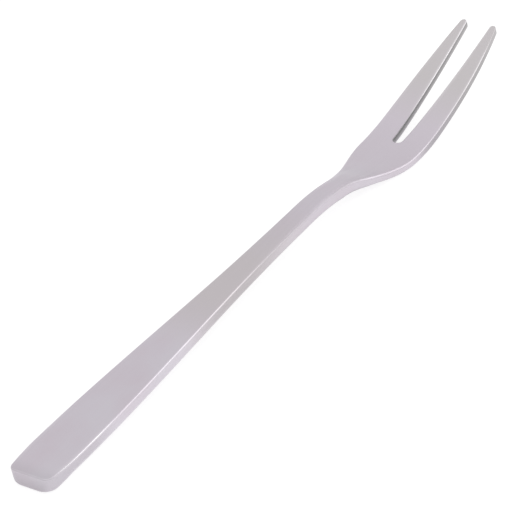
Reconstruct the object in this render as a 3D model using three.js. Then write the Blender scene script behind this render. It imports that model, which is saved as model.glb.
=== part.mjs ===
import * as THREE from 'three';
import { mergeVertices } from 'three/addons/utils/BufferGeometryUtils.js';

// A small fork with two tines, pressed from one flat steel blank.
// The blank lies along x, from the butt of the handle at 0 to the tips, and y runs across it.
// Its edges are rounded, and then it is bent to the side view and laid on the table.

// Lengths along the flat blank, in millimetres
const SWELL_LENGTH = 7.15; // butt to the widest point of the handle
const TAPER_LENGTH = 65.1; // widest point of the handle to the start of the neck
const NECK_LENGTH = 15.8; // the narrow stretch that keeps one width
const SHOULDER_LENGTH = 18.2; // end of the neck to the widest point of the head
const THINNING_LENGTH = 9; // end of the neck to where the steel is as thin as the head
const TINE_TAPER_LENGTH = 35.2; // widest point of the head to the tips
const SLOT_LENGTH = 32.4; // root of the slot to the tips
const TIP_LENGTH = 0.6; // the rounded end of a tine

// Widths across the blank
const BUTT_WIDTH = 6.75;
const HANDLE_WIDTH = 7.8; // at the widest point
const NECK_WIDTH = 3.75;
const HEAD_WIDTH = 10.6; // at the widest point
const TIP_OUTER_WIDTH = 0.55; // point of a tip to the outer edge
const TIP_INNER_WIDTH = 0.55; // point of a tip to the slot
const SLOT_ROOT_WIDTH = 1.6;
const SLOT_MOUTH_WIDTH = 4.5;
const TINE_CURVE = 2.8; // power of the outer curve of the tines; a higher one draws in later

// Corners of the butt, seen from above: tighter on the top face than on the back
const BUTT_TOP_CORNER = 1;
const BUTT_BACK_CORNER = 2;

// Thickness of the steel
const BUTT_THICKNESS = 2.7; // at the very end
const HANDLE_THICKNESS = 2.5; // from the widest point of the handle to the neck
const HEAD_THICKNESS = 1.55; // over the rest of the head, to the tips

// Radii of the edges: crisp along the top of the handle and head, soft at the neck and the back
const HANDLE_TOP_EDGE = 0.3;
const NECK_TOP_EDGE = 0.5;
const HEAD_TOP_EDGE = 0.2;
const HANDLE_BACK_EDGE = 1;
const NECK_BACK_EDGE = 1.05;
const HEAD_BACK_EDGE = 0.3;
const EDGE_BLEND_LENGTH = 16; // stretch over which an edge changes from one radius to the next

// Bends of the side view, along the top face
const BEND_SETBACK = 5.3; // start of the neck to the start of its bend
const NECK_BEND_RADIUS = 54;
const NECK_DIP_DEGREES = 17.3; // slope at which the neck runs down into the bowl
const BOWL_RADIUS = 42;
const TINE_RISE_DEGREES = 11.7; // slope at which the tines leave the bowl
const TINE_SWEEP_RADIUS = 219; // the tines go on curving gently upwards

const { clamp, degToRad, lerp, smoothstep } = THREE.MathUtils;

// Places along the blank
const neckAt = SWELL_LENGTH + TAPER_LENGTH;
const shoulderAt = neckAt + NECK_LENGTH;
const thinAt = shoulderAt + THINNING_LENGTH;
const headAt = shoulderAt + SHOULDER_LENGTH;
const tipAt = headAt + TINE_TAPER_LENGTH;
const rootAt = tipAt - SLOT_LENGTH;
const rootRadius = SLOT_ROOT_WIDTH / 2;

// Outline of the blank

// Half the width: swell, taper, neck, shoulders and the curve of the tines, added up
function halfWidth(x) {
  const towardsButt = clamp(1 - x / SWELL_LENGTH, 0, 1);
  const alongTines = clamp((x - headAt) / TINE_TAPER_LENGTH, 0, 1);
  const acrossTips = SLOT_MOUTH_WIDTH + 2 * (TIP_INNER_WIDTH + TIP_OUTER_WIDTH);
  const swell = (BUTT_WIDTH - HANDLE_WIDTH) * towardsButt ** 2;
  const taper = (NECK_WIDTH - HANDLE_WIDTH) * smoothstep(x, SWELL_LENGTH, neckAt);
  const shoulder = (HEAD_WIDTH - NECK_WIDTH) * smoothstep(x, shoulderAt, headAt);
  const tines = (acrossTips - HEAD_WIDTH) * alongTines ** TINE_CURVE;
  return (HANDLE_WIDTH + swell + taper + shoulder + tines) / 2;
}

function halfSlot(x) {
  return lerp(SLOT_ROOT_WIDTH, SLOT_MOUTH_WIDTH, (x - rootAt) / SLOT_LENGTH) / 2;
}

// What a corner of some length and width takes off the width, at a distance from its end
function bite(distance, length, width) {
  if (distance >= length) return 0;
  const share = Math.max(0, distance / length);
  return width * (1 - Math.sqrt(share * (2 - share)));
}

function outerEdge(x, corner) {
  return halfWidth(x) - bite(x, corner, corner) - bite(tipAt - x, TIP_LENGTH, TIP_OUTER_WIDTH);
}

function slotEdge(x) {
  const tip = bite(tipAt - x, TIP_LENGTH, TIP_INNER_WIDTH);
  return halfSlot(x) - bite(x - rootAt, rootRadius, rootRadius) + tip;
}

// Steps round a quarter turn, as distances from the end of the corner
function quarterTurn(length) {
  const degrees = [0, 15, 30, 45, 60, 75, 90];
  return degrees.map((angle) => length * (1 - Math.cos(degToRad(angle))));
}

// Even steps from one place to another, without the first
function evenSteps(from, to, count) {
  return Array.from({ length: count }, (_, step) => lerp(from, to, (step + 1) / count));
}

const handleFacet = 3; // longest step along the straight handle
const headFacet = 1.2; // longest step along the bent neck and head
const tipStart = tipAt - TIP_LENGTH;
const slotStart = rootAt + rootRadius;
const handleCount = Math.ceil(neckAt / handleFacet);
const headCount = Math.ceil((tipStart - neckAt) / headFacet);
const slotCount = Math.ceil((tipStart - slotStart) / headFacet);
const tipSteps = quarterTurn(TIP_LENGTH).reverse().slice(1).map((distance) => tipAt - distance);
const slotSteps = [
  ...quarterTurn(rootRadius).map((distance) => rootAt + distance),
  ...evenSteps(slotStart, tipStart, slotCount),
  ...tipSteps,
];

// Half of the outline: middle of the butt, outer edge to the tip, and back along the slot to its root
function halfOutline(corner) {
  const outerSteps = [
    ...quarterTurn(corner),
    ...evenSteps(corner, neckAt, handleCount),
    ...evenSteps(neckAt, tipStart, headCount),
    ...tipSteps,
  ];
  return [
    new THREE.Vector2(0, 0),
    ...outerSteps.map((x) => new THREE.Vector2(x, outerEdge(x, corner))),
    ...slotSteps.slice(0, -1).reverse().map((x) => new THREE.Vector2(x, slotEdge(x))),
  ];
}

// Directions into the steel, square to the outline, which is mirrored at both of its ends
function inwardDirections(outline) {
  const mirrored = (point) => new THREE.Vector2(point.x, -point.y);
  return outline.map((point, i) => {
    const before = i > 0 ? outline[i - 1] : mirrored(outline[1]);
    const after = i < outline.length - 1 ? outline[i + 1] : mirrored(outline[i - 1]);
    const along = new THREE.Vector2().subVectors(after, before).normalize();
    return new THREE.Vector2(along.y, -along.x);
  });
}

// Thickness and rounded edges

function thickness(x) {
  const towardsButt = clamp(1 - x / SWELL_LENGTH, 0, 1);
  const intoHead = clamp((x - shoulderAt) / THINNING_LENGTH, 0, 1);
  const swell = (BUTT_THICKNESS - HANDLE_THICKNESS) * towardsButt ** 2;
  return lerp(HANDLE_THICKNESS, HEAD_THICKNESS, intoHead) + swell;
}

const topEdge = {
  corner: BUTT_TOP_CORNER,
  handle: HANDLE_TOP_EDGE,
  neck: NECK_TOP_EDGE,
  head: HEAD_TOP_EDGE,
};
const backEdge = {
  corner: BUTT_BACK_CORNER,
  handle: HANDLE_BACK_EDGE,
  neck: NECK_BACK_EDGE,
  head: HEAD_BACK_EDGE,
};

// Radius of an edge, which fits inside the corners of the butt, the tips and half the thickness
function edgeRadius(edge, x) {
  const largestPart = 0.95; // of the corner, tip or half thickness that the edge has to fit
  const tightestTip = Math.min(TIP_INNER_WIDTH, TIP_OUTER_WIDTH) ** 2 / TIP_LENGTH;
  const intoNeck = smoothstep(x, neckAt - EDGE_BLEND_LENGTH / 2, neckAt + EDGE_BLEND_LENGTH / 2);
  const intoHead = smoothstep(x, thinAt, thinAt + EDGE_BLEND_LENGTH);
  const onHandle = Math.min(edge.handle, largestPart * edge.corner);
  const onHead = Math.min(edge.head, largestPart * tightestTip);
  const radius = lerp(lerp(onHandle, edge.neck, intoNeck), onHead, intoHead);
  return Math.min(radius, (largestPart * thickness(x)) / 2);
}

// Bend to the side view

const dip = degToRad(NECK_DIP_DEGREES);
const rise = degToRad(TINE_RISE_DEGREES);
const bendAt = neckAt + BEND_SETBACK;
const quarter = Math.PI / 2;
const sideView = new THREE.CurvePath();

// Adds an arc that leaves the end of the side view at a slope; a negative turn goes downwards
function addArc(radius, slope, turn) {
  const side = Math.sign(turn);
  const end = sideView.getPoint(1);
  const centreX = end.x - side * radius * Math.sin(slope);
  const centreZ = end.y + side * radius * Math.cos(slope);
  const from = slope - side * quarter;
  sideView.add(new THREE.ArcCurve(centreX, centreZ, radius, from, from + turn, turn < 0));
}

sideView.add(new THREE.LineCurve(new THREE.Vector2(0, 0), new THREE.Vector2(bendAt, 0)));
addArc(NECK_BEND_RADIUS, 0, -dip);
addArc(BOWL_RADIUS, -dip, dip + rise);
const sweepLength = tipAt - bendAt - NECK_BEND_RADIUS * dip - BOWL_RADIUS * (dip + rise);
addArc(TINE_SWEEP_RADIUS, rise, sweepLength / TINE_SWEEP_RADIUS);

// A point of the blank, at a depth below the top face, carried along by the bend
function bent(x, y, depth) {
  const share = clamp(x / tipAt, 0, 1);
  const top = sideView.getPoint(share);
  const along = sideView.getTangent(share);
  return new THREE.Vector3(top.x + along.y * depth, y, top.y - along.x * depth);
}

// Faces of one half, each followed by its mirror image in the other half

const samePoint = 1e-4; // corners closer than this are one corner
const corners = [];

function addFace(a, b, c) {
  const sides = [a.distanceTo(b), b.distanceTo(c), c.distanceTo(a)];
  if (Math.min(...sides) < samePoint) return;
  corners.push(a, b, c);
  corners.push(...[a, c, b].map((corner) => new THREE.Vector3(corner.x, -corner.y, corner.z)));
}

// One line of points along the outline, part of the way round the edge from the side to the face
function edgeLine(edge, degrees) {
  const angle = degToRad(degrees);
  const depthAt = (radius, steel) => {
    const offFace = radius * (1 - Math.sin(angle));
    return edge === topEdge ? offFace : steel - offFace;
  };
  const down = depthAt(edgeRadius(edge, 0), BUTT_THICKNESS) / BUTT_THICKNESS;
  const outline = halfOutline(lerp(BUTT_TOP_CORNER, BUTT_BACK_CORNER, down));
  const inward = inwardDirections(outline);
  return outline.map((point, i) => {
    const radius = edgeRadius(edge, point.x);
    const place = point.clone().addScaledVector(inward[i], radius * (1 - Math.cos(angle)));
    const corner = bent(place.x, place.y, depthAt(radius, thickness(place.x)));
    return { x: place.x, corner };
  });
}

const edgeLines = [
  ...[90, 60, 30, 0].map((degrees) => edgeLine(backEdge, degrees)),
  ...[0, 30, 60, 90].map((degrees) => edgeLine(topEdge, degrees)),
];
for (let level = 1; level < edgeLines.length; level += 1) {
  const lower = edgeLines[level - 1];
  const upper = edgeLines[level];
  for (let i = 1; i < lower.length; i += 1) {
    addFace(lower[i - 1].corner, upper[i - 1].corner, upper[i].corner);
    addFace(lower[i - 1].corner, upper[i].corner, lower[i].corner);
  }
}

// Fills the top or the back between its outer rim and, on the inside, the middle line and slot rim
function fillFace(rim, depthAt, upwards) {
  const tip = rim.length - slotSteps.length;
  const outer = rim.slice(0, tip + 1);
  const slot = rim.slice(tip).reverse();
  const middle = outer
    .filter(({ x }) => x > outer[1].x && x < slot[0].x - headFacet / 2)
    .map(({ x }) => ({ x, corner: bent(x, 0, depthAt(x)) }));
  const inner = [outer[0], ...middle, ...slot];
  let i = 0;
  let j = 0;
  while (i < outer.length - 1 || j < inner.length - 1) {
    const outerNext = j === inner.length - 1 || (i < outer.length - 1 && outer[i + 1].x <= inner[j + 1].x);
    const next = outerNext ? outer[i + 1] : inner[j + 1];
    if (upwards) addFace(inner[j].corner, next.corner, outer[i].corner);
    else addFace(inner[j].corner, outer[i].corner, next.corner);
    if (outerNext) i += 1;
    else j += 1;
  }
}

fillFace(edgeLines[0], thickness, false);
fillFace(edgeLines[edgeLines.length - 1], () => 0, true);

let shape = new THREE.BufferGeometry().setFromPoints(corners);
shape = mergeVertices(shape, samePoint);

// Lies on the table on its butt and the bottom of its bowl, with the middle of its box at x = 0

function lowest(points) {
  return points.reduce((low, point) => (point.z < low.z ? point : low));
}

const settlingTurns = 5; // each turn brings the two lowest points closer to level
for (let turn = 0; turn < settlingTurns; turn += 1) {
  const position = shape.getAttribute('position');
  const points = Array.from({ length: position.count }, (_, i) => {
    return new THREE.Vector3().fromBufferAttribute(position, i);
  });
  const middle = points.reduce((sum, point) => sum + point.x, 0) / points.length;
  const butt = lowest(points.filter((point) => point.x < middle));
  const bowl = lowest(points.filter((point) => point.x >= middle));
  shape.rotateY(Math.atan2(bowl.z - butt.z, bowl.x - butt.x));
}
shape.computeBoundingBox();
const { min, max } = shape.boundingBox;
shape.translate(-(min.x + max.x) / 2, 0, -min.z);
shape.computeVertexNormals();

const steel = new THREE.MeshStandardMaterial({
  name: 'satin_steel',
  color: '#c1bcc1',
  metalness: 1,
  roughness: 0.35,
});
const forkBody = new THREE.Mesh(shape, steel);
forkBody.name = 'fork_body';

const fork = new THREE.Group();
fork.name = 'fork';
fork.add(forkBody);

export default fork;
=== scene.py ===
import math

import bpy
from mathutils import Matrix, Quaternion, Vector


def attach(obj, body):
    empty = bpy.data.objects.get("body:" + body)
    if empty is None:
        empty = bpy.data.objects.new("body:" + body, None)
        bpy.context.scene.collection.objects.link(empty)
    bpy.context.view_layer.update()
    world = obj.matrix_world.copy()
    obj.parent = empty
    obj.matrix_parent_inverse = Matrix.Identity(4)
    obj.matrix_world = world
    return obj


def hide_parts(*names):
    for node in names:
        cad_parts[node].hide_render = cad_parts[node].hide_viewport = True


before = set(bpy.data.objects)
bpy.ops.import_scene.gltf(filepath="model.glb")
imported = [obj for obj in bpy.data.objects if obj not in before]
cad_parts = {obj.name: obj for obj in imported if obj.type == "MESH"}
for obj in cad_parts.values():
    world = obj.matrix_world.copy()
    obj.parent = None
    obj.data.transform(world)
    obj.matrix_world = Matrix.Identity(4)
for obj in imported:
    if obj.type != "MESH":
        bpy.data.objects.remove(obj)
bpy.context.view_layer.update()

# A small fork with two tines, pressed from one flat steel blank.
# The blank lies along x, from the butt of the handle at 0 to the tips, and y runs across it.
# Its edges are rounded, and then it is bent to the side view and laid on the table.

# Lengths along the flat blank, in metres
SWELL_LENGTH = 0.00715  # butt to the widest point of the handle
TAPER_LENGTH = 0.0651  # widest point of the handle to the start of the neck
NECK_LENGTH = 0.0158  # the narrow stretch that keeps one width
SHOULDER_LENGTH = 0.0182  # end of the neck to the widest point of the head
THINNING_LENGTH = 0.009  # end of the neck to where the steel is as thin as the head
TINE_TAPER_LENGTH = 0.0352  # widest point of the head to the tips
SLOT_LENGTH = 0.0324  # root of the slot to the tips
TIP_LENGTH = 0.0006  # the rounded end of a tine

# Widths across the blank
BUTT_WIDTH = 0.00675
HANDLE_WIDTH = 0.0078  # at the widest point
NECK_WIDTH = 0.00375
HEAD_WIDTH = 0.0106  # at the widest point
TIP_OUTER_WIDTH = 0.00055  # point of a tip to the outer edge
TIP_INNER_WIDTH = 0.00055  # point of a tip to the slot
SLOT_ROOT_WIDTH = 0.0016
SLOT_MOUTH_WIDTH = 0.0045
SWELL_CURVE = 2  # power of the curve from the butt to the widest point of the handle
TINE_CURVE = 2.8  # power of the outer curve of the tines; a higher one draws in later

# Thickness of the steel
BUTT_THICKNESS = 0.0027  # at the very end
HANDLE_THICKNESS = 0.0025  # from the widest point of the handle to the neck
HEAD_THICKNESS = 0.00155  # over the rest of the head, to the tips

# Radii of the edges and, seen from above, of the corners of the butt
TOP_EDGE = {"butt": 0.0003, "handle": 0.0003, "neck": 0.0005, "head": 0.0002, "corner": 0.001}
BACK_EDGE = {"butt": 0.0006, "handle": 0.001, "neck": 0.00105, "head": 0.0003, "corner": 0.002}
BUTT_EDGE_LENGTH = 0.006  # butt to where its edges have become those of the handle
EDGE_BLEND_LENGTH = 0.016  # stretch over which an edge changes from one radius to the next
EDGE_LARGEST_PART = 0.95  # of the corner, tip or half thickness that an edge has to fit

# Crown of the top face at the neck
CROWN_SLOPE = 0.32  # slope across the face at its rims
CROWN_POWER = 3  # a higher one keeps more of the middle flat

# Bends of the side view, along the top face
BEND_SETBACK = 0.0053  # start of the neck to the start of its bend
NECK_BEND_RADIUS = 0.054
NECK_DIP = math.radians(17.3)  # slope at which the neck runs down into the bowl
BOWL_RADIUS = 0.042
TINE_RISE = math.radians(11.7)  # slope at which the tines leave the bowl
TINE_SWEEP_RADIUS = 0.219  # the tines go on curving gently upwards

# Fineness of the mesh
ROW_LENGTH = 0.0004  # longest step along the blank
CORNER_STEPS = 10  # steps round a corner of the outline
EDGE_STEPS = 7  # steps round an edge
COLUMNS = 7  # strips across half of a face
STEPS_PER_METRE = 1e8  # corners that agree to within such a step are one corner
SETTLING_TURNS = 6  # each turn brings the two lowest points closer to level

# Painted shade, and polish with a painted highlight, on the steel: 0 is like the face of the handle, and
# 1 is full. The painted shade darkens walls, slot, edges and faces where their reflections would be
# shaded, and the painted highlight lightens worn edges.
# The waist is the slender part of the handle, and the dip is where the neck runs down into the bowl.
WALL_PAINTED_SHADE = {
    "end": 0.22,
    "end_foot": 0.35,
    "butt": 0.19,
    "handle": 0.03,
    "waist": 0.29,
    "neck": 0.08,
    "tine": 0.52,
    "tip": 0.36,
}
SLOT_PAINTED_SHADE = {"root": 1.15, "tip": 0.72}  # above 1, a wall stays fully darkened by the painted shade for part of its height
SLOT_FOOT_PART = 0.5  # of the painted shade of a slot wall that is left at its lower edge
FACE_PAINTED_SHADE = {"butt": 0.12, "waist": 0.08, "dip": 0.09}
# painted shade on edges, which dims their highlight at the neck, shoulder, tips and root of the slot
EDGE_PAINTED_SHADE = {"neck": 0.68, "shoulder": 0.24, "tip": 0.32, "slot_root": 1.0}
# polish of the edges, which also paints a highlight on them
EDGE_POLISH_AND_HIGHLIGHT = {
    "end": 0.15,
    "butt": 0.7,
    "handle": 0.16,
    "tine": 0.5,
    "tip": 0.0,
    "slot": 1.0,
    "slot_tip": 0.65,
}
WALL_FADE = 6  # power by which the painted shade of a wall fades out round its edges
SLOT_FADE = 10  # the same in the slot
EDGE_FADE = 3  # power by which the painted shade of an edge fades out to both sides
POLISH_AND_HIGHLIGHT_ON_FACE = 0.3  # part of the polish and painted highlight of an edge that reaches onto the face

# Stretches of the blank, as start and end, over which the finish changes
OFF_END = (0, 0.0006)
ONTO_BUTT_EDGES = (0.001, 0.004)
OFF_BUTT = (0.01, 0.018)
FACE_OFF_BUTT = (0, 0.003)
ONTO_WAIST = (0.035, 0.049)
OFF_WAIST = (0.053, 0.071)
FACE_OFF_WAIST = (0.06, 0.086)
ONTO_NECK_EDGES = (0.046, 0.068)
OFF_NECK_EDGES = (0.0895, 0.0955)
ONTO_DIP = (0.086, 0.093)
OFF_DIP = (0.093, 0.1)
ONTO_TINE_WALLS = (0.104, 0.1135)
ONTO_TINES = (0.106, 0.12)
OFF_SLOT_ROOT = (0.112, 0.126)
ONTO_TIPS = (0.133, 0.1375)

# Colours of the steel, and the stretches over which they change
STEEL_TONES = ((0.665, 0.605, 0.667), (0.68, 0.638, 0.698))
WAIST_COLOUR = (0.675, 0.626, 0.65)
HEAD_COLOUR = (0.695, 0.64, 0.703)
# darker tone on the tines, partly painted shade for the dimmer reflection of their upturned tops
TINE_TONE_AND_SHADE = (0.63, 0.605, 0.6)
TINE_TONE_AND_SHADE_PART = 0.75  # of the darker tone and painted shade of the tines that shows there
# colour of the painted shade, which darkens where reflections would be shaded
PAINTED_SHADE_COLOUR = (0.165, 0.165, 0.165)
# colour of the painted highlight on worn edges
PAINTED_HIGHLIGHT_COLOUR = (0.95, 0.92, 0.95)
TINT_OFF_WAIST = (0.06, 0.078)
TINT_ONTO_HEAD = (0.096, 0.11)
TINT_ONTO_TINES = (0.114, 0.126)

# Noises of the steel, as features per metre along, across and through it, and levels of detail
BRUSHING = ((150, 9000, 9000), 3)
STREAKS = ((40, 1600, 1600), 2)
TONE = ((90, 160, 160), 3)
WEAR_AND_HIGHLIGHT = ((300, 900, 900), 4)
NOISE_SPAN = (0.35, 0.65)  # holds most values of a noise
WEAR_AND_HIGHLIGHT_NOISE_SPAN = (0.3, 0.7)
WEAR_AND_HIGHLIGHT_SPAN = (0.5, 1)  # least and most of the polish and painted highlight that wear leaves
BRUSHING_PART = 0.6  # of the grain; the rest is streaks
ROUGHNESS_SPAN = (0.3, 0.42)
WORN_SMOOTHNESS = 0.16  # roughness that full wear takes off
BUMP_STRENGTH = 0.25
BUMP_HEIGHT = 0.00001

# Floor and light, where 1 is white
FLOOR_REACH = 2  # middle to each side, in metres
FLOOR_COLOUR = (0.35, 0.35, 0.35, 1)
FLOOR_LIFT = 0.78  # what the camera and the steel see of the floor, beyond the light that falls on it
SURROUND_COLOUR = (1, 1, 1, 1)
SURROUND_BRIGHTNESS = 0.8
RIGHT_SOFTBOX = {"direction": (0.77, -0.45, 0.42), "distance": 0.9, "size": 0.65, "brightness": 0.9}
TOP_SOFTBOX = {"direction": (0, 0, 1), "distance": 0.9, "size": 0.8, "brightness": 0.25}

# Camera
CAMERA_AIM = Vector((-0.00520, 0.00152, 0.00252))
CAMERA_DISTANCE = 0.4182
CAMERA_HEADING = math.radians(58.46)  # from +y towards +x
CAMERA_PITCH = math.radians(31.63)  # below the horizon
CAMERA_ROLL = math.radians(-1.86)
CAMERA_LENS = 187.5  # in millimetres, like the sensor
SENSOR_WIDTH = 36

# Places along the blank
neck_at = SWELL_LENGTH + TAPER_LENGTH
shoulder_at = neck_at + NECK_LENGTH
thin_at = shoulder_at + THINNING_LENGTH
head_at = shoulder_at + SHOULDER_LENGTH
tip_at = head_at + TINE_TAPER_LENGTH
root_at = tip_at - SLOT_LENGTH
root_radius = SLOT_ROOT_WIDTH / 2

# Growth of the corners of the butt with the depth below the top face
corner_growth = (BACK_EDGE["corner"] - TOP_EDGE["corner"]) / BUTT_THICKNESS

# Bends as start along the blank, length and curvature
bend_at = neck_at + BEND_SETBACK
bowl_at = bend_at + NECK_BEND_RADIUS * NECK_DIP
sweep_at = bowl_at + BOWL_RADIUS * (NECK_DIP + TINE_RISE)
bends = [
    (bend_at, bowl_at - bend_at, -1 / NECK_BEND_RADIUS),
    (bowl_at, sweep_at - bowl_at, 1 / BOWL_RADIUS),
    (sweep_at, tip_at - sweep_at, 1 / TINE_SWEEP_RADIUS),
]


def clamp(value):
    return min(max(value, 0.0), 1.0)


def lerp(start, end, share):
    return start + (end - start) * share


def smooth(x, start, end):
    """Rises softly from 0 at the start of a stretch to 1 at its end"""
    share = clamp((x - start) / (end - start))
    return share * share * (3 - 2 * share)


# Outline of the blank


def swell(at_butt, on_handle, x):
    """What the butt adds to a measure of the handle, down to nothing at the widest point"""
    return (at_butt - on_handle) * clamp(1 - x / SWELL_LENGTH) ** SWELL_CURVE


def half_width(x):
    """Half the width: butt, taper, shoulders and the curve of the tines, added up"""
    butt = swell(BUTT_WIDTH, HANDLE_WIDTH, x)
    taper = (NECK_WIDTH - HANDLE_WIDTH) * smooth(x, SWELL_LENGTH, neck_at)
    shoulder = (HEAD_WIDTH - NECK_WIDTH) * smooth(x, shoulder_at, head_at)
    across_tips = SLOT_MOUTH_WIDTH + 2 * (TIP_INNER_WIDTH + TIP_OUTER_WIDTH)
    tines = (across_tips - HEAD_WIDTH) * clamp((x - head_at) / TINE_TAPER_LENGTH) ** TINE_CURVE
    return (HANDLE_WIDTH + butt + taper + shoulder + tines) / 2


def half_slot(x):
    return lerp(SLOT_ROOT_WIDTH, SLOT_MOUTH_WIDTH, (x - root_at) / SLOT_LENGTH) / 2


def bite(distance, length, width):
    """What a corner of some length and width takes off the width, at a distance from its end"""
    if distance >= length:
        return 0.0
    share = max(0.0, distance / length)
    return width * (1 - math.sqrt(share * (2 - share)))


def outer_edge(x, corner):
    return half_width(x) - bite(x, corner, corner) - bite(tip_at - x, TIP_LENGTH, TIP_OUTER_WIDTH)


def slot_edge(x):
    tip = bite(tip_at - x, TIP_LENGTH, TIP_INNER_WIDTH)
    return half_slot(x) - bite(x - root_at, root_radius, root_radius) + tip


def quarter_turn(length):
    """Steps round a quarter turn, as distances from the end of the corner"""
    quarter = math.pi / 2
    return [length * (1 - math.cos(quarter * k / CORNER_STEPS)) for k in range(CORNER_STEPS + 1)]


def even_steps(start, end, count):
    """Even steps from one place to another, without the first"""
    return [lerp(start, end, (k + 1) / count) for k in range(count)]


def make_outline(corner):
    """Half of the outline as three chains of points: the butt, the outer edge and the slot"""
    slot_start = root_at + root_radius
    tip_start = tip_at - TIP_LENGTH
    tip_rows = [tip_at - distance for distance in reversed(quarter_turn(TIP_LENGTH))][1:]
    tine_rows = even_steps(slot_start, tip_start, math.ceil((tip_start - slot_start) / ROW_LENGTH))
    before_root = quarter_turn(corner) + even_steps(corner, root_at, math.ceil(root_at / ROW_LENGTH))
    beside_root = even_steps(root_at, slot_start, CORNER_STEPS)
    outer_rows = before_root + beside_root + tine_rows + tip_rows
    slot_rows = [root_at + distance for distance in quarter_turn(root_radius)] + tine_rows + tip_rows
    butt_end = outer_edge(0, corner)
    butt = [Vector((0, butt_end * k / COLUMNS)) for k in range(COLUMNS + 1)]
    outer = [Vector((x, outer_edge(x, corner))) for x in outer_rows]
    slot = [Vector((x, slot_edge(x))) for x in slot_rows]
    return butt, outer, slot


def inward_directions(loop):
    """Directions into the steel, square to the outline, which is mirrored at both of its ends"""
    first = Vector((loop[1].x, -loop[1].y))
    last = Vector((loop[-2].x, -loop[-2].y))
    padded = [first, *loop, last]
    directions = []
    for before, after in zip(padded, padded[2:]):
        along = (after - before).normalized()
        directions.append(Vector((along.y, -along.x)))
    return directions


# Thickness, edges, crown and bend


def thickness(x):
    into_head = clamp((x - shoulder_at) / THINNING_LENGTH)
    butt = swell(BUTT_THICKNESS, HANDLE_THICKNESS, x)
    return lerp(HANDLE_THICKNESS, HEAD_THICKNESS, into_head) + butt


def edge_radius(edge, x):
    """Radius of an edge, which fits inside the corners of the butt, the tips and half the thickness"""
    tightest_tip = min(TIP_INNER_WIDTH, TIP_OUTER_WIDTH) ** 2 / TIP_LENGTH
    into_neck = smooth(x, neck_at - EDGE_BLEND_LENGTH / 2, neck_at + EDGE_BLEND_LENGTH / 2)
    into_head = smooth(x, thin_at, thin_at + EDGE_BLEND_LENGTH)
    off_butt = smooth(x, edge["corner"], BUTT_EDGE_LENGTH)
    on_handle = min(lerp(edge["butt"], edge["handle"], off_butt), EDGE_LARGEST_PART * edge["corner"])
    on_head = min(edge["head"], EDGE_LARGEST_PART * tightest_tip)
    radius = lerp(lerp(on_handle, edge["neck"], into_neck), on_head, into_head)
    return min(radius, EDGE_LARGEST_PART * thickness(x) / 2)


def crown(x):
    """Slope across the top face at its rims, which is a little rounded at the neck"""
    return CROWN_SLOPE * (smooth(x, *ONTO_NECK_EDGES) - smooth(x, *OFF_NECK_EDGES))


def side_view(x):
    """Place and slope of the top face at a distance along the blank"""
    place_x = min(x, bend_at)
    place_z = 0.0
    slope = 0.0
    for start, length, curvature in bends:
        turned = slope + curvature * min(max(x - start, 0.0), length)
        place_x += (math.sin(turned) - math.sin(slope)) / curvature
        place_z -= (math.cos(turned) - math.cos(slope)) / curvature
        slope = turned
    return place_x, place_z, slope


# Finish along the blank


def wall_painted_shade(x, in_slot, at_foot):
    """How much painted shade darkens a wall: most in the slot, less on the tines and least on the handle
    """
    if in_slot:
        painted_shade = lerp(SLOT_PAINTED_SHADE["root"], SLOT_PAINTED_SHADE["tip"], clamp((x - root_at) / SLOT_LENGTH))
        return painted_shade * SLOT_FOOT_PART if at_foot else painted_shade
    # the foot of the end gets more painted shade, for the shadow where it meets the floor
    end = WALL_PAINTED_SHADE["end_foot" if at_foot else "end"]
    painted_shade = lerp(end, WALL_PAINTED_SHADE["butt"], smooth(x, *OFF_END))
    painted_shade = lerp(painted_shade, WALL_PAINTED_SHADE["handle"], smooth(x, *OFF_BUTT))
    painted_shade = lerp(painted_shade, WALL_PAINTED_SHADE["waist"], smooth(x, *ONTO_WAIST))
    painted_shade = lerp(painted_shade, WALL_PAINTED_SHADE["neck"], smooth(x, *OFF_WAIST))
    painted_shade = lerp(painted_shade, WALL_PAINTED_SHADE["tine"], smooth(x, *ONTO_TINE_WALLS))
    return lerp(painted_shade, WALL_PAINTED_SHADE["tip"], smooth(x, *ONTO_TIPS))


# painted shade on the faces, at the butt, the waist and the dip
def face_painted_shade(x):
    butt = FACE_PAINTED_SHADE["butt"] * (1 - smooth(x, *FACE_OFF_BUTT))
    waist = FACE_PAINTED_SHADE["waist"] * (smooth(x, *ONTO_WAIST) - smooth(x, *FACE_OFF_WAIST))
    dip = FACE_PAINTED_SHADE["dip"] * (smooth(x, *ONTO_DIP) - smooth(x, *OFF_DIP))
    return butt + waist + dip


# painted shade on the edges, which dims their highlight
def edge_painted_shade(x, in_slot):
    if in_slot:
        return EDGE_PAINTED_SHADE["slot_root"] * (1 - smooth(x, *OFF_SLOT_ROOT))
    painted_shade = EDGE_PAINTED_SHADE["neck"] * smooth(x, *ONTO_NECK_EDGES)
    painted_shade = lerp(painted_shade, EDGE_PAINTED_SHADE["shoulder"], smooth(x, *OFF_NECK_EDGES))
    painted_shade *= 1 - smooth(x, *ONTO_TINES)
    return lerp(painted_shade, EDGE_PAINTED_SHADE["tip"], smooth(x, *ONTO_TIPS))


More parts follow.
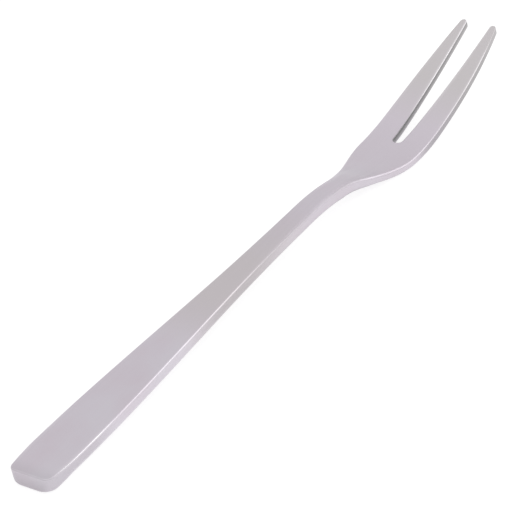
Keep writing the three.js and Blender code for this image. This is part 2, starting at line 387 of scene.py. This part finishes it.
# polish of the edges, which also paints a highlight on them
def edge_polish_and_highlight(x, in_slot):
    if in_slot:
        polish_and_highlight = EDGE_POLISH_AND_HIGHLIGHT["slot"] * smooth(x, *OFF_SLOT_ROOT)
        return lerp(polish_and_highlight, EDGE_POLISH_AND_HIGHLIGHT["slot_tip"], smooth(x, *ONTO_TIPS))
    polish_and_highlight = lerp(EDGE_POLISH_AND_HIGHLIGHT["end"], EDGE_POLISH_AND_HIGHLIGHT["butt"], smooth(x, *ONTO_BUTT_EDGES))
    polish_and_highlight = lerp(polish_and_highlight, EDGE_POLISH_AND_HIGHLIGHT["handle"], smooth(x, *OFF_BUTT))
    polish_and_highlight *= 1 - smooth(x, *ONTO_NECK_EDGES)
    polish_and_highlight = lerp(polish_and_highlight, EDGE_POLISH_AND_HIGHLIGHT["tine"], smooth(x, *ONTO_TINES))
    return lerp(polish_and_highlight, EDGE_POLISH_AND_HIGHLIGHT["tip"], smooth(x, *ONTO_TIPS))


def edge_finish(edge, angle, x, in_slot):
    """Polish with a painted highlight, and painted shade, at an angle round an edge, from the wall to the
    face
    """
    on_edge = math.sin(2 * angle)
    to_face = math.sin(angle)
    to_wall = math.cos(angle)
    fade = SLOT_FADE if in_slot else WALL_FADE
    polish_and_highlight = edge_polish_and_highlight(x, in_slot) * lerp(on_edge, to_face, POLISH_AND_HIGHLIGHT_ON_FACE)
    on_wall = wall_painted_shade(x, in_slot, edge is BACK_EDGE) * to_wall**fade
    painted_shade = on_wall + edge_painted_shade(x, in_slot) * on_edge**EDGE_FADE * to_face
    return polish_and_highlight, max(painted_shade, face_painted_shade(x))


# Mesh of the fork


class Surface:
    """Corners and faces of the bent fork; corners at the same place of the blank are one corner"""

    def __init__(self):
        self.known = {}
        self.places = []
        self.normals = []
        self.blanks = []
        self.polishes_and_highlights = []
        self.painted_shades = []
        self.faces = []

    def corner(self, x, y, depth, normal, polish_and_highlight=0.0, painted_shade=0.0):
        """Number of the corner at a place of the blank, which is bent with the side view"""
        key = tuple(round(value * STEPS_PER_METRE) for value in (x, y, depth))
        if key in self.known:
            return self.known[key]
        top_x, top_z, slope = side_view(x)
        sine = math.sin(slope)
        cosine = math.cos(slope)
        self.places.append(Vector((top_x + sine * depth, y, top_z - cosine * depth)))
        turned_x = normal.x * cosine - normal.z * sine
        turned_z = normal.x * sine + normal.z * cosine
        self.normals.append(Vector((turned_x, normal.y, turned_z)).normalized())
        self.blanks.append((x, y, depth))
        self.polishes_and_highlights.append(polish_and_highlight)
        self.painted_shades.append(painted_shade)
        self.known[key] = len(self.places) - 1
        return self.known[key]

    def strip(self, lower, upper, turned):
        """Faces between two lines of corners; turned ones face the other way"""
        for k in range(1, len(lower)):
            face = [lower[k - 1], lower[k], upper[k], upper[k - 1]]
            face = list(dict.fromkeys(face))
            if len(face) > 2:
                self.faces.append(face[::-1] if turned else face)


def edge_line(surface, side, edge, angle):
    """Corners along half of the outline, at an angle round an edge, from the wall to the face"""
    is_top = edge is TOP_EDGE
    to_face = math.sin(angle)
    to_wall = math.cos(angle)

    def depth_at(radius, steel):
        off_face = radius * (1 - to_face)
        return off_face if is_top else steel - off_face

    corner = TOP_EDGE["corner"] + corner_growth * depth_at(edge_radius(edge, 0), BUTT_THICKNESS)
    butt, outer, slot = make_outline(corner)
    loop = butt + outer[1:] + slot[-2::-1]
    slot_from = len(loop) - len(slot)
    line = []
    for i, (point, direction) in enumerate(zip(loop, inward_directions(loop))):
        radius = edge_radius(edge, point.x)
        place = point + direction * radius * (1 - to_wall)
        depth = depth_at(radius, thickness(place.x))
        lean = 0.0
        if point.x < corner:
            lean = corner_growth * max(0.0, abs(direction.x) + abs(direction.y) - 1)
        out = max(to_wall, crown(point.x)) if is_top else to_wall
        up = (to_face if is_top else -to_face) - lean * to_wall
        normal = Vector((-direction.x * out, -direction.y * out * side, up))
        polish_and_highlight, painted_shade = edge_finish(edge, angle, point.x, i > slot_from)
        line.append(surface.corner(place.x, place.y * side, depth, normal, polish_and_highlight, painted_shade))
    return line


def fill_face(surface, side, rim, is_top):
    """Half of the top or back inside its rim, in rows from the middle line or the slot outwards"""
    butt, outer, slot = make_outline(TOP_EDGE["corner"])
    outer_start = len(butt) - 1
    slot_start = outer_start + len(outer) - 1
    outer_rim = rim[outer_start : outer_start + len(outer)]
    slot_rim = rim[slot_start:][::-1]
    root_row = len(outer) - len(slot)
    rows = [rim[: len(butt)]]
    for i in range(1, len(outer)):
        x_out, y_out, _ = surface.blanks[outer_rim[i]]
        x_in = x_out
        y_in = 0.0
        if i >= root_row:
            x_in, y_in, _ = surface.blanks[slot_rim[i - root_row]]
        row = []
        for k in range(COLUMNS + 1):
            share = k / COLUMNS
            x = lerp(x_in, x_out, share)
            y = lerp(y_in, y_out, share)
            depth = thickness(x)
            normal = Vector((0, 0, -1))
            if is_top:
                rise_power = CROWN_POWER + 1
                depth = -crown(x) * abs(y_out) * (1 - share**rise_power) / rise_power
                normal = Vector((0, crown(x) * share**CROWN_POWER * side, 1))
            row.append(surface.corner(x, y, depth, normal, painted_shade=face_painted_shade(x)))
        rows.append(row)
    for before, after in zip(rows, rows[1:]):
        surface.strip(before, after, (side < 0) != is_top)


def add_half(surface, side):
    """Wall, edges, top and back of one half; side is 1 or -1"""
    angles = [math.pi / 2 * k / EDGE_STEPS for k in range(EDGE_STEPS + 1)]
    back_lines = [edge_line(surface, side, BACK_EDGE, angle) for angle in reversed(angles)]
    top_lines = [edge_line(surface, side, TOP_EDGE, angle) for angle in angles]
    lines = back_lines + top_lines
    for lower, upper in zip(lines, lines[1:]):
        surface.strip(upper, lower, side < 0)
    fill_face(surface, side, lines[0], False)
    fill_face(surface, side, lines[-1], True)


def settle(surface):
    """Lays the fork on its butt and the bottom of its bowl, with the middle of its box at x = 0"""
    middle = sum(place.x for place in surface.places) / len(surface.places)
    halves = [place.x < middle for place in surface.places]
    for _ in range(SETTLING_TURNS):
        pairs = list(zip(surface.places, halves))
        butt = min((place for place, is_butt in pairs if is_butt), key=lambda place: place.z)
        bowl = min((place for place, is_butt in pairs if not is_butt), key=lambda place: place.z)
        turn = Quaternion((0, 1, 0), math.atan2(bowl.z - butt.z, bowl.x - butt.x))
        surface.places = [turn @ place for place in surface.places]
        surface.normals = [turn @ normal for normal in surface.normals]
    left = min(place.x for place in surface.places)
    right = max(place.x for place in surface.places)
    floor = min(place.z for place in surface.places)
    shift = Vector((-(left + right) / 2, 0, -floor))
    surface.places = [place + shift for place in surface.places]


def make_fork():
    """The fork as one closed mesh, whose corners keep their place on the blank, their polish with a
    painted highlight, and their painted shade
    """
    surface = Surface()
    for side in (1, -1):
        add_half(surface, side)
    settle(surface)
    mesh = bpy.data.meshes.new("fork")
    mesh.from_pydata(surface.places, [], surface.faces)
    blank = mesh.attributes.new("blank", "FLOAT_VECTOR", "POINT")
    blank.data.foreach_set("vector", [value for place in surface.blanks for value in place])
    # attributes for the polish with its painted highlight, and for the painted shade
    polish_and_highlight = mesh.attributes.new("polish_and_highlight", "FLOAT", "POINT")
    polish_and_highlight.data.foreach_set("value", surface.polishes_and_highlights)
    painted_shade = mesh.attributes.new("painted_shade", "FLOAT", "POINT")
    painted_shade.data.foreach_set("value", surface.painted_shades)
    mesh.shade_smooth()
    mesh.normals_split_custom_set_from_vertices(surface.normals)
    piece = bpy.data.objects.new("fork", mesh)
    bpy.context.scene.collection.objects.link(piece)
    return piece


# Materials


def link(tree, source, target):
    tree.links.new(source, target)


def attribute(tree, name, output):
    node = tree.nodes.new("ShaderNodeAttribute")
    node.attribute_name = name
    return node.outputs[output]


def noise(tree, coordinates, scale, detail):
    """A noise whose three scales are in features per metre, along, across and through the steel"""
    mapping = tree.nodes.new("ShaderNodeMapping")
    mapping.inputs["Scale"].default_value = scale
    texture = tree.nodes.new("ShaderNodeTexNoise")
    texture.inputs["Scale"].default_value = 1
    texture.inputs["Detail"].default_value = detail
    link(tree, coordinates, mapping.inputs["Vector"])
    link(tree, mapping.outputs["Vector"], texture.inputs["Vector"])
    return texture.outputs["Fac"]


def remap(tree, value, span, result=(0, 1)):
    """Takes one span of values to another, and keeps to its ends outside it"""
    node = tree.nodes.new("ShaderNodeMapRange")
    for name, number in zip(("From Min", "From Max", "To Min", "To Max"), (*span, *result)):
        node.inputs[name].default_value = number
    link(tree, value, node.inputs["Value"])
    return node.outputs["Result"]


def maths(tree, operation, first, second):
    node = tree.nodes.new("ShaderNodeMath")
    node.operation = operation
    for socket, value in zip(node.inputs, (first, second)):
        if isinstance(value, (int, float)):
            socket.default_value = value
        else:
            link(tree, value, socket)
    return node.outputs["Value"]


def blend(tree, share, first, second):
    """Mix of two colours, each a socket or a plain colour"""
    node = tree.nodes.new("ShaderNodeMix")
    node.data_type = "RGBA"
    link(tree, share, node.inputs["Factor"])
    sockets = [socket for socket in node.inputs if socket.type == "RGBA"]
    for socket, value in zip(sockets, (first, second)):
        if isinstance(value, tuple):
            socket.default_value = (*value, 1)
        else:
            link(tree, value, socket)
    return next(socket for socket in node.outputs if socket.type == "RGBA")


def satin_steel():
    """Steel brushed lengthwise, with slow changes of tone, painted shade on walls and edges, and edges
    worn smooth with a painted highlight
    """
    material = bpy.data.materials.new("satin_steel")
    material.use_nodes = True
    tree = material.node_tree
    shader = tree.nodes["Principled BSDF"]
    place = attribute(tree, "blank", "Vector")
    polish_and_highlight = attribute(tree, "polish_and_highlight", "Fac")
    painted_shade = attribute(tree, "painted_shade", "Fac")
    axes = tree.nodes.new("ShaderNodeSeparateXYZ")
    link(tree, place, axes.inputs["Vector"])
    along = axes.outputs["X"]

    tone = remap(tree, noise(tree, place, *TONE), NOISE_SPAN)
    wear_and_highlight = remap(tree, noise(tree, place, *WEAR_AND_HIGHLIGHT), WEAR_AND_HIGHLIGHT_NOISE_SPAN, WEAR_AND_HIGHLIGHT_SPAN)
    wear_and_highlight = maths(tree, "MULTIPLY", polish_and_highlight, wear_and_highlight)
    onto_waist = remap(tree, along, ONTO_WAIST)
    off_waist = remap(tree, along, TINT_OFF_WAIST)
    on_waist = maths(tree, "SUBTRACT", onto_waist, off_waist)
    on_head = remap(tree, along, TINT_ONTO_HEAD)
    on_tines = remap(tree, along, TINT_ONTO_TINES, (0, TINE_TONE_AND_SHADE_PART))
    colour = blend(tree, tone, *STEEL_TONES)
    colour = blend(tree, on_waist, colour, WAIST_COLOUR)
    colour = blend(tree, on_head, colour, HEAD_COLOUR)
    # darker tone on the tines, partly painted shade
    colour = blend(tree, on_tines, colour, TINE_TONE_AND_SHADE)
    # painted shade, then the painted highlight on the worn edges
    colour = blend(tree, painted_shade, colour, PAINTED_SHADE_COLOUR)
    colour = blend(tree, wear_and_highlight, colour, PAINTED_HIGHLIGHT_COLOUR)
    link(tree, colour, shader.inputs["Base Color"])

    brushing = maths(tree, "MULTIPLY", noise(tree, place, *BRUSHING), BRUSHING_PART)
    streaks = maths(tree, "MULTIPLY", noise(tree, place, *STREAKS), 1 - BRUSHING_PART)
    grain = maths(tree, "ADD", brushing, streaks)
    rough = remap(tree, grain, NOISE_SPAN, ROUGHNESS_SPAN)
    rough = maths(tree, "SUBTRACT", rough, maths(tree, "MULTIPLY", wear_and_highlight, WORN_SMOOTHNESS))
    link(tree, rough, shader.inputs["Roughness"])

    bump = tree.nodes.new("ShaderNodeBump")
    bump.inputs["Strength"].default_value = BUMP_STRENGTH
    bump.inputs["Distance"].default_value = BUMP_HEIGHT
    link(tree, grain, bump.inputs["Height"])
    link(tree, bump.outputs["Normal"], shader.inputs["Normal"])
    shader.inputs["Metallic"].default_value = 1
    return material


def white_floor():
    """Matt floor that keeps its shadow; what the camera and the steel see of it is lifted to white"""
    material = bpy.data.materials.new("white_floor")
    material.use_nodes = True
    tree = material.node_tree
    tree.nodes.remove(tree.nodes["Principled BSDF"])
    output = tree.nodes["Material Output"]
    matt = tree.nodes.new("ShaderNodeBsdfDiffuse")
    matt.inputs["Color"].default_value = FLOOR_COLOUR
    glow = tree.nodes.new("ShaderNodeEmission")
    path = tree.nodes.new("ShaderNodeLightPath")
    seen = maths(tree, "ADD", path.outputs["Is Camera Ray"], path.outputs["Is Glossy Ray"])
    seen = maths(tree, "ADD", seen, path.outputs["Is Transmission Ray"])
    link(tree, maths(tree, "MULTIPLY", seen, FLOOR_LIFT), glow.inputs["Strength"])
    both = tree.nodes.new("ShaderNodeAddShader")
    link(tree, matt.outputs["BSDF"], both.inputs[0])
    link(tree, glow.outputs["Emission"], both.inputs[1])
    link(tree, both.outputs["Shader"], output.inputs["Surface"])
    return material


# Floor, light and camera


def make_floor():
    mesh = bpy.data.meshes.new("floor")
    signs = [(-1, -1), (1, -1), (1, 1), (-1, 1)]
    mesh.from_pydata([(x * FLOOR_REACH, y * FLOOR_REACH, 0) for x, y in signs], [], [(0, 1, 2, 3)])
    floor = bpy.data.objects.new("floor", mesh)
    floor.data.materials.append(white_floor())
    bpy.context.scene.collection.objects.link(floor)


def make_softbox(name, direction, distance, size, brightness):
    """A square lamp that faces the fork; brightness 1 is as bright as white"""
    lamp = bpy.data.lights.new(name, "AREA")
    lamp.shape = "SQUARE"
    lamp.size = size
    lamp.energy = brightness * math.pi * size * size
    box = bpy.data.objects.new(name, lamp)
    towards = Vector(direction).normalized()
    box.location = towards * distance
    box.rotation_mode = "QUATERNION"
    box.rotation_quaternion = towards.to_track_quat("Z", "Y")
    bpy.context.scene.collection.objects.link(box)


def make_surround():
    world = bpy.data.worlds.new("surround")
    world.use_nodes = True
    background = world.node_tree.nodes["Background"]
    background.inputs["Color"].default_value = SURROUND_COLOUR
    background.inputs["Strength"].default_value = SURROUND_BRIGHTNESS
    bpy.context.scene.world = world


def make_camera():
    data = bpy.data.cameras.new("camera")
    data.sensor_width = SENSOR_WIDTH
    data.lens = CAMERA_LENS
    camera = bpy.data.objects.new("camera", data)
    level = math.cos(CAMERA_PITCH)
    forward_x = math.sin(CAMERA_HEADING) * level
    forward_y = math.cos(CAMERA_HEADING) * level
    forward = Vector((forward_x, forward_y, -math.sin(CAMERA_PITCH)))
    camera.location = CAMERA_AIM - forward * CAMERA_DISTANCE
    camera.rotation_mode = "QUATERNION"
    roll = Quaternion((0, 0, 1), CAMERA_ROLL)
    camera.rotation_quaternion = forward.to_track_quat("-Z", "Y") @ roll
    bpy.context.scene.collection.objects.link(camera)
    bpy.context.scene.camera = camera


make_camera()
fork = make_fork()
fork.data.materials.append(satin_steel())
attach(fork, "root")
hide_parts("fork_body")
make_floor()
make_surround()
make_softbox("right_softbox", **RIGHT_SOFTBOX)
make_softbox("top_softbox", **TOP_SOFTBOX)
bpy.context.scene.view_settings.view_transform = "Standard"
